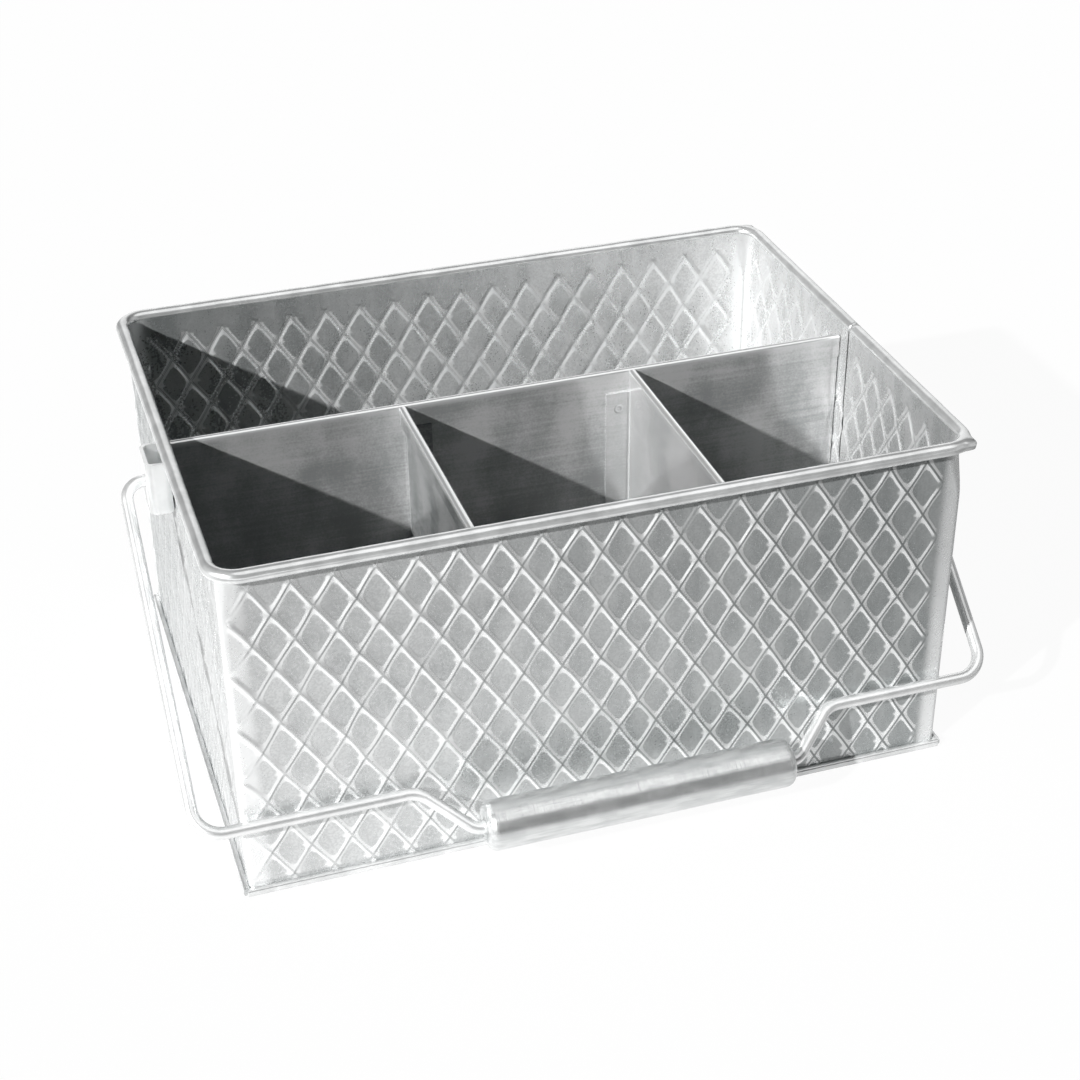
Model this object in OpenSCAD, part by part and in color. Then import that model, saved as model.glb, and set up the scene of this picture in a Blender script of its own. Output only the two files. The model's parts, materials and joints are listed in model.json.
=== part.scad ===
// Open caddy of embossed sheet steel: four compartments and a wire handle that swings over the top.
// The origin is the middle of the underside. +X is right, -Y is the front, +Z is up.

/* [Walls] */
// Width over the walls, left to right
body_w = 236; // [190:1:300]
// Depth over the walls, front to back
body_d = 174; // [140:1:220]
// Height of the rim bead's centre above the table
rim_z = 117.4; // [100:0.1:150]
// Radius of the wall's upright corners, outside
corner_r = 7; // [4:0.5:14]
// Thickness of all sheet
sheet_t = 0.8; // [0.5:0.1:1]
// Diameter of the rolled rim
rim_d = 4.4; // [3.6:0.1:6]
// Gap where the strip's two ends meet
seam_gap = 0.4; // [0.2:0.1:1]
// How far in front of the middle the seam lies
seam_y = 3.3; // [3:0.1:6]

/* [Diamond ribs] */
// Width of one diamond
diamond_w = 12.6; // [8:0.1:20]
// Height of one diamond
diamond_h = 19.4; // [12:0.1:30]
// Width of a rib
rib_w = 1.5; // [0.8:0.1:2.5]
// Height of a rib above the sheet
rib_h = 0.6; // [0.3:0.1:1]
// Plain band between the rim's bead and the ribs
rib_top_band = 2.5; // [2:0.5:12]
// Plain band between the base hem and the ribs
rib_foot_band = 1; // [1:0.5:10]
// Plain band left round a bracket
bracket_band = 1; // [0.5:0.5:5]

/* [Base] */
// How far the base hem stands out from the wall
hem_out = 2; // [1.6:0.1:4]
// Height of the base hem
hem_h = 2.6; // [2.5:0.1:5]
// Open gap at the hem's mitred corners
mitre_gap = 0.6; // [0.2:0.1:1.5]

/* [Dividers] */
// How far behind the middle the long divider stands
long_divider_y = 2.5; // [-20:0.5:20]
// How far the dividers' tops lie below the rim bead's centre
divider_drop = 4.4; // [3:0.1:30]
// Width of the dividers' welding tabs
tab_w = 9; // [5:0.5:14]
// How far the tabs stop below a divider's top
tab_drop = 8; // [7:0.5:20]
// Open gap inside the folded top edge
fold_gap = 1; // [0.4:0.1:2]
// Length of the fold's return
fold_len = 5; // [3:0.5:5]
// Outside radius of a tab's bend
bend_r = 1.6; // [1.3:0.1:3]
// Gap under the dividers
floor_gap = 0.4; // [0.2:0.1:2]

/* [Brackets] */
// Thickness of the bracket strap
bracket_t = 1.2; // [0.8:0.1:2]
// How far a bracket stands out from the wall
bracket_out = 8; // [6:0.5:12]
// Length of a bracket, front to back
bracket_len = 15; // [12:0.5:24]
// Height of a bracket
bracket_h = 18; // [10:0.5:22]
// Outside radius of a bracket's bends
bracket_r = 2.5; // [2.1:0.1:4]
// Slot left between a bracket's two turned-in feet
foot_gap = 5; // [2:0.5:6]

/* [Handle] */
// Diameter of the handle wire
wire_d = 4; // [3:0.1:5]
// How far the handle's pivots lie below the rim bead's centre
pivot_drop = 15; // [14:0.5:30]
// Room between a bracket and the bend beside it
pivot_room = 0.6; // [0.3:0.1:3]
// How far the arms reach past the front wall when held level
arm_reach = 26.5; // [15:0.5:40]
// How far the grip drops from the handle's shoulders, down a slope of 45 degrees
grip_drop = 15; // [11:0.5:25]
// Bend radius at the pivots
pivot_bend_r = 6; // [4:0.5:8]
// Bend radius at the handle's corners
corner_bend_r = 9; // [6:0.5:15]
// Bend radius where the shoulders turn down to the grip
shoulder_bend_r = 9; // [6:0.5:12]
// Bend radius beside the grip
grip_bend_r = 6; // [4:0.5:9]
// How much thicker the wire is where it is bent
bend_swell = 0.1; // [0.08:0.01:0.2]
// How far a straight run of wire reaches into a bend
bend_lap = 0.4; // [0.2:0.1:0.4]
// Length of the grip
grip_len = 103; // [80:1:120]
// Diameter of the grip
grip_d = 16; // [12:0.5:22]
// Wall of the grip tube
grip_t = 1; // [0.6:0.1:2]
// Radius of the grip's rounded ends
grip_end_r = 3; // [2.2:0.1:5]
// How far the grip sits right of the middle
grip_shift = 5.8; // [-10:0.1:10]

/* [Clearances] */
// Play round a moving wire
running_gap = 0.15; // [0.1:0.05:0.4]
// Play where one sheet is folded or rolled round another piece
fold_play = 0.1; // [0.05:0.05:0.2]
// Gap between pieces that stand near each other
near_gap = 0.4; // [0.2:0.1:1]
// Gap between the handle and the front wall's ribs at rest
rest_gap = 0.4; // [0.3:0.1:2]

/* [Hidden] */
$fn = 64;
steel = "gainsboro";
satin_steel = "silver";
rib_root = sheet_t / 2;

// Walls and rim
rim_r = rim_d / 2;
curl_out = rim_r - sheet_t;
straight_x = body_w - 2 * corner_r;
straight_y = body_d - 2 * corner_r;
inner_w = body_w - 2 * sheet_t;
inner_d = body_d - 2 * sheet_t;

// Base hem, which holds the wall's turned-out foot
base_w = body_w + 2 * hem_out;
base_d = body_d + 2 * hem_out;
wall_z = sheet_t;
lip_w = hem_out - fold_play;
foot_out = hem_out - sheet_t - fold_play;

// Ribs
half_w = diamond_w / 2;
half_h = diamond_h / 2;
rib_share = rib_w / 2 * norm([half_w, half_h]) / (half_w * half_h);
rib_top_z = rim_z - rim_r - rib_top_band;
rib_foot_z = hem_h + rib_foot_band;
rib_rows = floor((rib_top_z - rib_foot_z) / half_h) - 1;
clear_len = bracket_len + 2 * bracket_band;
clear_h = bracket_h + 2 * bracket_band;

// Dividers
divider_top = rim_z - divider_drop;
divider_z = wall_z + floor_gap;
tab_top = divider_top - tab_drop;
fold_r = sheet_t + fold_gap / 2;
cross_len = inner_d / 2 + long_divider_y;
cross_y = long_divider_y - cross_len / 2;
cell_w = (inner_w - 2 * sheet_t) / 3;

// Handle
pivot_z = rim_z - pivot_drop;
wire_r = wire_d / 2;
bail_x = body_w / 2 + bracket_out + pivot_room + pivot_bend_r;
pin_end_x = body_w / 2 + bracket_t + near_gap;
front_stop = body_d / 2 + rib_h + rest_gap + wire_r;
arm_len = front_stop + arm_reach;
grip_line = arm_len + grip_drop;
wall_tilt = acos(front_stop / arm_len);
table_tilt = asin((pivot_z - grip_d / 2 - rest_gap) / grip_line);
rest_tilt = min(wall_tilt, table_tilt);
s_in = grip_len / 2 + near_gap + grip_bend_r * tan(45 / 2);
s_out = s_in + grip_drop;

// Corner points of the handle wire in its own plane, from the left pivot to the right one
bail_points = [
    [-pin_end_x, 0],
    [-bail_x, 0],
    [-bail_x, -arm_len],
    [grip_shift - s_out, -arm_len],
    [grip_shift - s_in, -grip_line],
    [grip_shift + s_in, -grip_line],
    [grip_shift + s_out, -arm_len],
    [bail_x, -arm_len],
    [bail_x, 0],
    [pin_end_x, 0]
];
bail_bends = [0, pivot_bend_r, corner_bend_r, shoulder_bend_r, grip_bend_r,
              grip_bend_r, shoulder_bend_r, corner_bend_r, pivot_bend_r, 0];

// Heading of the run from point i, the turn at point i, the length from there to the end of its arc,
// and the length that the arc takes off a run
function heading(p, i) = atan2(p[i + 1][1] - p[i][1], p[i + 1][0] - p[i][0]);
function wrapped(a) = a > 180 ? a - 360 : a < -180 ? a + 360 : a;
function turn_at(p, i) = wrapped(heading(p, i) - heading(p, i - 1));
function arc_trim(p, bends, i) = bends[i] * tan(abs(turn_at(p, i)) / 2);
function run_trim(p, bends, i) = bends[i] == 0 ? 0 : arc_trim(p, bends, i) - bend_lap;

// A round wire through flat points, a little thicker in its bends, where each run reaches into the arc beside it
module bent_wire(p, bends, d) {
    for (i = [0 : len(p) - 2]) {
        start = run_trim(p, bends, i);
        run = norm(p[i + 1] - p[i]) - start - run_trim(p, bends, i + 1);
        translate(p[i])
            rotate([0, 0, heading(p, i)])
                translate([start, 0, 0])
                    rotate([0, 90, 0])
                        cylinder(d = d, h = run);
    }
    for (i = [1 : len(p) - 2]) {
        turn = turn_at(p, i);
        left = turn > 0;
        translate(p[i])
            rotate([0, 0, heading(p, i - 1)])
                translate([-arc_trim(p, bends, i), left ? bends[i] : -bends[i], 0])
                    rotate([0, 0, left ? -90 : 90 + turn])
                        rotate_extrude(angle = abs(turn))
                            translate([bends[i], 0])
                                circle(d = d + bend_swell);
    }
}

// A flat rounded rectangle, centred
module rounded_plate(w, d, r) {
    square([w - 2 * r, d], center = true);
    square([w, d - 2 * r], center = true);
    for (x = [-1, 1], y = [-1, 1])
        translate([x * (w / 2 - r), y * (d / 2 - r)])
            circle(r = r);
}

// Carries a flat section round the wall's path: along each straight side and round each corner.
// The section's x is the distance out from the corner's centre.
module swept_round() {
    for (i = [0 : 3]) {
        across = i % 2 == 0 ? straight_x : straight_y;
        along = i % 2 == 0 ? straight_y : straight_x;
        rotate([0, 0, 90 * i]) {
            translate([across / 2, 0, 0])
                rotate([90, 0, 0])
                    linear_extrude(along, center = true)
                        children();
            translate([across / 2, along / 2, 0])
                rotate_extrude(angle = 90)
                    children();
        }
    }
}

// Centres of one row of diamonds on a panel that is n diamonds wide: odd rows lie half a diamond in
function row_count(n, row) = n - row % 2;
function row_z(row) = rib_top_z - half_h * (row + 1 + rib_share);
function cell_x(n, row, k) = (k - (row_count(n, row) - 1) / 2) * diamond_w;
function diamond(x, z, share) = [
    [x - half_w * share, z], [x, z + half_h * share], [x + half_w * share, z], [x, z - half_h * share]
];

// A panel of crossing ribs with a zigzag edge, standing upright, with its diamonds left open
module rib_net(n) {
    grown = 1 + rib_share;
    last = rib_rows - 1;
    last_even = last - last % 2;
    edge_x = cell_x(n, 0, n - 1);
    foot_n = row_count(n, last);
    top = [for (k = [0 : n - 1]) each concat(
        [[cell_x(n, 0, k), row_z(0) + half_h * grown]],
        k < n - 1 ? [[cell_x(n, 0, k) + half_w, row_z(0) + half_h * rib_share]] : []
    )];
    right = [for (row = [0 : 2 : last_even]) each concat(
        [[edge_x + half_w * grown, row_z(row)]],
        row < last_even ? [[edge_x + half_w * rib_share, row_z(row) - half_h]] : []
    )];
    foot = [for (k = [foot_n - 1 : -1 : 0]) each concat(
        [[cell_x(n, last, k), row_z(last) - half_h * grown]],
        k > 0 ? [[cell_x(n, last, k) - half_w, row_z(last) - half_h * rib_share]] : []
    )];
    left = [for (i = [len(right) - 1 : -1 : 0]) [-right[i][0], right[i][1]]];
    edge = concat(top, right, foot, left);
    cells = [for (row = [0 : last], k = [0 : row_count(n, row) - 1])
        diamond(cell_x(n, row, k), row_z(row), 1 - rib_share)];
    polygon(
        points = concat(edge, [for (c = cells) each c]),
        paths = concat(
            [[for (i = [0 : len(edge) - 1]) i]],
            [for (c = [0 : len(cells) - 1]) [for (i = [0 : 3]) len(edge) + 4 * c + i]]
        )
    );
}

// The ribs of all four sides, left off round the brackets
module ribs() {
    for (i = [0 : 3]) {
        side = i % 2 == 0;
        out = side ? body_w / 2 : body_d / 2;
        run = side ? straight_y : straight_x;
        rotate([0, 0, 90 * i])
            translate([out - rib_root, 0, 0])
                rotate([90, 0, 90])
                    linear_extrude(rib_h + rib_root)
                        difference() {
                            rib_net(floor(run / diamond_w));
                            if (side)
                                translate([0, pivot_z])
                                    square([clear_len, clear_h], center = true);
                        }
    }
}

module wall_section() {
    translate([corner_r - sheet_t, wall_z])
        square([sheet_t, rim_z - wall_z]);
    translate([corner_r + curl_out, rim_z])
        difference() {
            circle(r = rim_r);
            circle(r = rim_r - sheet_t);
            translate([-rim_d, -rim_d])
                square(rim_d);
        }
}

// The wall's foot, turned out along each straight side
module wall_foot() {
    for (i = [0 : 3]) {
        side = i % 2 == 0;
        out = side ? body_w / 2 : body_d / 2;
        run = side ? straight_y : straight_x;
        rotate([0, 0, 90 * i])
            translate([out - rib_root, -run / 2, wall_z])
                cube([foot_out + rib_root, run, sheet_t]);
    }
}

// Where the strip's ends meet, on the right
module seam_cut() {
    deep = 2 * (curl_out + rim_d);
    translate([body_w / 2 - deep / 2, -seam_y - seam_gap / 2, 0])
        cube([deep, seam_gap, rim_z + rim_d]);
}

module wall_wrapper() {
    color(steel)
        difference() {
            union() {
                swept_round()
                    wall_section();
                wall_foot();
                ribs();
            }
            seam_cut();
        }
}

module rim_wire() {
    color(satin_steel)
        difference() {
            swept_round()
                translate([corner_r + curl_out, rim_z])
                    circle(r = rim_r - sheet_t - fold_play);
            seam_cut();
        }
}

// A strip along a base edge with mitred ends: its outer edge lies on the Y axis
module mitred_strip(run, w) {
    half = run / 2 - mitre_gap;
    polygon([[0, -half], [0, half], [-w, half - w], [-w, w - half]]);
}

module base_pan() {
    color(steel) {
        translate([-base_w / 2, -base_d / 2, 0])
            cube([base_w, base_d, sheet_t]);
        for (i = [0 : 3]) {
            side = i % 2 == 0;
            rotate([0, 0, 90 * i])
                translate([(side ? base_w : base_d) / 2, 0, 0]) {
                    run = side ? base_d : base_w;
                    linear_extrude(hem_h)
                        mitred_strip(run, sheet_t);
                    translate([0, 0, hem_h - sheet_t])
                        linear_extrude(sheet_t)
                            mitred_strip(run, lip_w);
                }
        }
    }
}

// Plan of a divider's lower part: a straight sheet on the X axis with a tab bent back at each end
module tabbed_plan(run) {
    intersection() {
        translate([0, tab_w])
            difference() {
                rounded_plate(run, 2 * tab_w, bend_r);
                rounded_plate(run - 2 * sheet_t, 2 * (tab_w - sheet_t), bend_r - sheet_t);
            }
        translate([-run / 2, 0])
            square([run, tab_w]);
    }
}

// End view of a divider's upper part: the sheet and its edge folded over towards +X
module folded_edge() {
    bend_z = divider_top - fold_r;
    translate([0, tab_top])
        square([sheet_t, bend_z - tab_top]);
    translate([fold_r, bend_z])
        difference() {
            circle(r = fold_r);
            circle(r = fold_gap / 2);
            translate([-fold_r, -2 * fold_r])
                square(2 * fold_r);
        }
    translate([sheet_t + fold_gap, bend_z - fold_len])
        square([sheet_t, fold_len]);
}

// A divider along X with its tabs towards +Y, and its top edge folded to the same side or the other.
// Between the tabs' bends its sheet runs on past the tabs' tops.
module divider(run, fold_with_tabs) {
    translate([0, 0, divider_z])
        linear_extrude(tab_top - divider_z)
            tabbed_plan(run);
    translate([bend_r - run / 2, 0, tab_top - sheet_t])
        cube([run - 2 * bend_r, sheet_t, 2 * sheet_t]);
    rotate([90, 0, 90])
        linear_extrude(run - 2 * near_gap, center = true)
            if (fold_with_tabs)
                folded_edge();
            else
                translate([sheet_t, 0])
                    mirror([1, 0])
                        folded_edge();
}

module long_divider() {
    color(steel)
        translate([0, long_divider_y, 0])
            divider(inner_w, true);
}

module left_cross_divider() {
    color(steel)
        translate([-cell_w / 2 - sheet_t, cross_y, 0])
            rotate([0, 0, -90])
                divider(cross_len, false);
}

module right_cross_divider() {
    mirror([1, 0, 0])
        left_cross_divider();
}

// Plan of a bracket, standing out along X from the wall, with its feet turned in
module bracket_plan() {
    translate([bracket_out / 2, 0])
        difference() {
            rounded_plate(bracket_out, bracket_len, bracket_r);
            rounded_plate(bracket_out - 2 * bracket_t, bracket_len - 2 * bracket_t, bracket_r - bracket_t);
            translate([-bracket_out / 2, 0])
                square([3 * bracket_t, foot_gap], center = true);
        }
}

module right_bracket() {
    color(satin_steel)
        translate([body_w / 2, 0, pivot_z])
            difference() {
                linear_extrude(bracket_h, center = true)
                    bracket_plan();
                translate([bracket_out / 2, 0, 0])
                    rotate([0, 90, 0])
                        cylinder(d = wire_d + 2 * running_gap, h = bracket_out);
            }
}

module left_bracket() {
    mirror([1, 0, 0])
        right_bracket();
}

// Hangs the handle's own plane, with its pivots on the X axis and its front at -Y, against the front wall
module hung_on_pivots() {
    translate([0, 0, pivot_z])
        rotate([rest_tilt, 0, 0])
            children();
}

module bail_wire() {
    color(satin_steel)
        hung_on_pivots()
            bent_wire(bail_points, bail_bends, wire_d);
}

// Half section of the grip beside its axis: a tube with its ends turned in to the wire
module grip_section() {
    hole_r = wire_r + running_gap;
    difference() {
        rounded_plate(grip_d, grip_len, grip_end_r);
        rounded_plate(grip_d - 2 * grip_t, grip_len - 2 * grip_t, grip_end_r - grip_t);
        translate([hole_r - grip_d, -grip_len])
            square([grip_d, 2 * grip_len]);
    }
}

module grip_tube() {
    color(satin_steel)
        hung_on_pivots()
            translate([grip_shift, -grip_line, 0])
                rotate([0, 90, 0])
                    rotate_extrude()
                        grip_section();
}

wall_wrapper();
rim_wire();
base_pan();
long_divider();
left_cross_divider();
right_cross_divider();
left_bracket();
right_bracket();
bail_wire();
grip_tube();
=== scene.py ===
"""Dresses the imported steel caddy: embossed walls, rolled rim, welded dividers, wire handle and tube grip."""

import json
import math
from collections import namedtuple

import bmesh
import bpy
from mathutils import Matrix, Vector, noise


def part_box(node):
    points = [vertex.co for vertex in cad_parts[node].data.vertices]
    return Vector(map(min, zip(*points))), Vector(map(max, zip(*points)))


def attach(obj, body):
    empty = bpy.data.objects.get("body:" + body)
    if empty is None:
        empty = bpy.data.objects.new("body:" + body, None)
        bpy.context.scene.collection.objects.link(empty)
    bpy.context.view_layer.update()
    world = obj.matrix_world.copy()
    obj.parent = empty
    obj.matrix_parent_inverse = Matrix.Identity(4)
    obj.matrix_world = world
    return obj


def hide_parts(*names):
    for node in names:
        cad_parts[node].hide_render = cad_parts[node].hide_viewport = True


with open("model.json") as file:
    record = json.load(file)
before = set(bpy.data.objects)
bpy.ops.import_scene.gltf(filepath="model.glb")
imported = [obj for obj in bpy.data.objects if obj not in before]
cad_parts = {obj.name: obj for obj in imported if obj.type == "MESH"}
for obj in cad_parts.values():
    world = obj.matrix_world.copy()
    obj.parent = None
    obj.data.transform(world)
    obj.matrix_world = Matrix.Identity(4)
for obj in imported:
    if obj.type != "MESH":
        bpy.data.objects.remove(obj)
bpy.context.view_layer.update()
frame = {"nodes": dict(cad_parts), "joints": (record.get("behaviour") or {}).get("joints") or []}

MM = 0.001

# Sheet: walls, rolled rim, base and dividers
SHEET = 0.8 * MM
SHEET_EDGE = 0.12 * MM
STRAP_EDGE = 0.2 * MM
EDGE_ANGLE = math.radians(40)
HEM_OUT = 2.0 * MM
HEM_HEIGHT = 2.6 * MM
HEM_ROUND = 0.8 * MM
HEM_SLIT = 0.3 * MM
HEM_CLIP = 1.3 * MM
HEM_GAP = 0.05 * MM
HEM_LIP = 0.3 * MM
HEM_SHARP = math.radians(50)
CORNER = 7.0 * MM
CORNER_RUN = CORNER * math.pi / 2
CORNER_FOOT = 1.8 * MM
CORNER_OPENS = 20.0 * MM
CORNER_CUTS = 11
CORNER_CROWDING = 1.6
BEAD = 2.2 * MM
BEAD_OUT = BEAD - SHEET
BEAD_RING = 24
BEAD_STEP = 1.2 * MM
BEAD_WANDER = 0.03
BEAD_PACE = 110
BEAD_SIDES = 3.0
SEAM_Y = -3.3 * MM
SEAM_GAP = 0.7 * MM
EAR_REACH = 2.6 * MM
EAR_SPREAD = 3.2 * MM
FLOOR_COLUMNS = 48
FLOOR_ROWS = 36
FLOOR_WAVE = 0.15 * MM
FLOOR_WAVE_PACE = 26
TAB_W = 9.0 * MM
FOLD_BAND = 1.2 * MM
FOLD_SOFT = 1.5 * MM
TAB_BEND_FROM = (2.9 * MM, 2.0 * MM)
TAB_BEND_TO = (0.82 * MM, 1.0 * MM)

# Spot welds: their heights, and the rings of one mark as (radius, height) in millimetres
WELD_HEIGHTS = [z * MM for z in (14.0, 56.0, 99.0)]
WELD_STEPS = ((1.75, 0.0), (1.45, 0.14), (1.15, 0.18), (0.8, 0.06), (0.3, 0.02))
WELD_RING = 20

# Handle: wire, its bends, and the tube on it
WIRE = 2.0 * MM
WIRE_RING = 20
WIRE_SPACING = 6.0 * MM
WIRE_WANDER = 0.1 * MM
WIRE_PACE = 0.06
WIRE_AXES = 9.1
WIRE_SEED = 1.0
BAIL_DROP = 15.0 * MM
BAIL_ARM_OUT = 14.6 * MM
BAIL_PIN_OUT = 1.6 * MM
BAIL_PLAY = 0.4 * MM
TIGHT_BEND = 6.0 * MM
WIDE_BEND = 9.0 * MM
BEND_STEP = 1.0 * MM
BEND_LEAST = 4
GRIP = 8.0 * MM
GRIP_WALL = 1.0 * MM
GRIP_BORE = 2.15 * MM
GRIP_CHAMFER = 0.3 * MM
GRIP_END = 3.0 * MM
GRIP_END_STEPS = 8
GRIP_CUTS = 16
GRIP_RING = 64

# Places taken from the frame
base_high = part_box("base_pan")[1]
rim_low, rim_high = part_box("rim_wire")
grip_low, grip_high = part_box("grip_tube")
HALF_W = base_high.x - HEM_OUT
HALF_D = base_high.y - HEM_OUT
RIM_Z = (rim_low.z + rim_high.z) / 2
GRIP_HALF = (grip_high.x - grip_low.x) / 2
JOINTS = {joint["name"]: joint for joint in frame["joints"]}
PIVOT = Vector(JOINTS["handle_swing"]["pos_m"])
GRIP_CENTRE = Vector(JOINTS["grip_spin"]["pos_m"])
FOLD_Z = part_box("long_divider")[1].z - FOLD_BAND
TAB_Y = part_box("left_cross_divider")[1].y

# Diamonds of the embossing and their ribs
DIAMOND_W = 12.62 * MM
DIAMOND_H = 19.4 * MM
NODE_WANDER = 0.7 * MM
RIB_HALF = 1.25 * MM
RIB_HEIGHT = 0.38 * MM
RIB_BOW = 0.45 * MM
RIB_STEPS = (0.0, 0.1, 0.22, 0.5, 0.78, 0.9)
CELL_DISH = 0.10 * MM
CELL_TILT = 0.05 * MM
CELL_ROUND = 0.13
CELL_ROUND_REACH = 0.24

# How strongly ribs are pressed, as shares of their height: falling ribs evenly, rising ones fully or faintly
FALLING_PRESS = 0.94
FALLING_VARIES = 0.12
FAINT_PRESS = 0.3
RISING_VARIES = 0.68
FAINT_BELOW = 0.2
FAINT_RUN = 0.25

# Noise in the pattern: its change from one lattice point to the next, and its change from side to side
NODE_PACE = 0.9
NODE_SIDES = 5.7
NODE_UP_SEED = Vector((41.5, 0, 0))
BOW_PACE = 0.43
BOW_SIDES = 11.3
PRESS_PACE = 0.37
PRESS_SIDES = 7.3
TILT_PACE = (0.71, 0.53)
TILT_SIDES = 3.1

# Where two ribs cross, in shares of a rib's length and height: rising ribs are notched beside falling ones
CROSSING_REACH = 0.14
CROSSING_HEIGHT = 1.06
NOTCH_DEPTH = 0.3
NOTCH_START = 0.05
NOTCH_FULL = 0.06
NOTCH_RUN = 0.12

# Where ribs die out
FADE_CLEAR = 0.2 * MM
FADE_RUN = 2.0 * MM
FADE_IN_CORNER = 1.6 * MM
FADE_BY_BRACKET = 1.5 * MM
BRACKET_HALF_W = 8.0 * MM
BRACKET_HALF_H = 9.5 * MM

# Painted highlights and shade on the sheet: highlights in the corners and on the ribs' flanks, brightest right
# of a crossing, weaker on the shaded flanks
CORNER_HIGHLIGHT = 0.7
CORNER_HIGHLIGHT_HALF = 2.5 * MM
CORNER_HIGHLIGHT_SPREAD = 5.0 * MM
SHADED_FLANK = 0.85
CROSSING_GLINT = 0.7
BLOB_REACH = 0.2

# The pattern of each side: right, back, left, front. The last entry scales the painted highlight on the ribs'
# flanks
PANELS = (
    {"columns": 13, "shift": 1.4 * MM, "top": 110.6 * MM, "lean": 0.004, "flank_highlight": 1.0},
    {"columns": 18, "shift": 2.2 * MM, "top": 110.2 * MM, "lean": -0.005, "flank_highlight": 1.0},
    {"columns": 13, "shift": -1.2 * MM, "top": 111.6 * MM, "lean": 0.003, "flank_highlight": 0.3},
    {"columns": 18, "shift": -2.6 * MM, "top": 112.6 * MM, "lean": 0.0088, "flank_highlight": 1.0},
)

# Studio: soft boxes as (direction, cosine at the edge, cosine where full, strength), then sun and camera
WHITE = (1.0, 1.0, 1.0)
SOFT_BOXES = (
    ((-0.85, -0.45, 0.25), 0.7, 0.93, 1.0),
    ((0.25, -0.3, 0.92), 0.84, 0.96, 1.0),
    ((1.0, -0.2, 0.05), 0.6, 0.95, 0.5),
    ((0.35, 0.88, 0.2), 0.8, 0.95, 1.0),
)
STUDIO_HALF = 6.0
SUN_FROM = Vector((-1.0, -0.58, 0.675))
SUN_POWER = 5.2
SUN_ANGLE = math.radians(1.2)
CAMERA_AT = (-0.1807, -0.5803, 0.4345)
CAMERA_HEADING = math.radians(-17.83)
CAMERA_TILT = math.radians(90 - 32.02)
CAMERA_ROLL = math.radians(-0.587)
CAMERA_LENS = 69.0
CAMERA_SENSOR = 36.0


def ease(x):
    """0 below 0 and 1 above 1, with a smooth step in between."""
    x = min(max(x, 0.0), 1.0)
    return x * x * (3 - 2 * x)


def smooth_mesh(name, verts, faces):
    """A smooth-shaded mesh from plain lists."""
    mesh = bpy.data.meshes.new(name)
    mesh.from_pydata([tuple(v) for v in verts], [], faces)
    mesh.shade_smooth()
    return mesh


def ring_faces(rows, ring, loop=False):
    """Quads between rows of rings, with the last row joined to the first where the rows make a loop."""
    faces = []
    for n in range(rows if loop else rows - 1):
        step = ((n + 1) % rows - n) * ring
        for k in range(ring):
            a = n * ring + k
            b = n * ring + (k + 1) % ring
            faces.append((a, b, b + step, a + step))
    return faces


def joined(name, *meshes):
    """One mesh out of several, keeping their normals."""
    pieces = [bpy.data.objects.new(m.name, m) for m in meshes]
    for piece in pieces:
        bpy.context.collection.objects.link(piece)
    with bpy.context.temp_override(active_object=pieces[0], selected_editable_objects=pieces):
        bpy.ops.object.join()
    mesh = pieces[0].data
    bpy.data.objects.remove(pieces[0])
    mesh.name = name
    return mesh


def new_piece(name, mesh, body, slot, *nodes):
    """Puts a mesh in the scene as a piece that rides on a body and stands for CAD nodes."""
    piece = bpy.data.objects.new(name, mesh)
    bpy.context.collection.objects.link(piece)
    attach(piece, body)
    if nodes:
        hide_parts(*nodes)
    return piece


# Walls

def side_half(side):
    """Half the flat run of a side: 0 right, 1 back, 2 left, 3 front."""
    return (HALF_D if side % 2 == 0 else HALF_W) - CORNER


def corner_radius(up):
    """The fold between two sides: tight for most of the height, opening out under the rolled rim."""
    return CORNER_FOOT + (CORNER - CORNER_FOOT) * ease((up - RIM_Z + CORNER_OPENS) / CORNER_OPENS)


def wall_frame(side, along, out, radius=CORNER):
    """Point in plan and outward normal on a side, at a distance out from the outer face of the wall.

    Past the flat run, along goes round the corner, and counts the widest fold's length at every radius.
    """
    half = side_half(side)
    face = HALF_W if side % 2 == 0 else HALF_D
    point = Vector((face, abs(along)))
    normal = Vector((1.0, 0.0))
    if abs(along) > half:
        straight = CORNER - radius
        arc = radius * math.pi / 2
        walked = (abs(along) - half) / CORNER_RUN * (2 * straight + arc)
        turn = min(max((walked - straight) / radius, 0.0), math.pi / 2)
        normal = Vector((math.cos(turn), math.sin(turn)))
        point = Vector((face - radius, half + straight)) + normal * radius
        point.x -= max(walked - straight - arc, 0.0)
        point.y -= max(straight - walked, 0.0)
    point += normal * out
    if along < 0:
        point.y = -point.y
        normal.y = -normal.y
    spin = Matrix.Rotation(side * math.pi / 2, 2)
    return spin @ point, spin @ normal


def cut(bm, point, normal, clear=False):
    """Cuts a flat pattern along a line and, if asked, drops what lies beyond it."""
    bmesh.ops.bisect_plane(
        bm,
        geom=bm.verts[:] + bm.edges[:] + bm.faces[:],
        plane_co=(*point, 0),
        plane_no=(*normal, 0),
        clear_outer=clear,
    )


# One ring of a diamond: its scale, its shares of the rib's height and of the dish, and its painted sheen:
# above 0 a painted highlight, below 0 a painted dark line
Level = namedtuple("Level", "scale rib dish shine")

# One point of a diamond's outline: the height shared at a crossing, the rib's own height, and shares of
# rounding, painted highlight and painted shade
RibPoint = namedtuple("RibPoint", "place top crest near_corner flank grime blob")


def rib_levels(share):
    """Rings of a diamond, from its ribs' crest in to its middle. Half a rib takes up the share given."""
    return (
        Level(1.0, 1.0, 0.0, -1.0),
        Level(1 - 0.18 * share, 0.98, 0.0, -0.5),
        Level(1 - 0.34 * share, 0.84, 0.0, 1.0),
        Level(1 - 0.74 * share, 0.28, 0.0, 1.0),
        Level(1 - 1.00 * share, 0.02, 0.0, 0.1),
        Level(1 - 1.30 * share, 0.0, 0.10, 0.0),
        Level(0.5, 0.0, 0.75, 0.0),
    )


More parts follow.
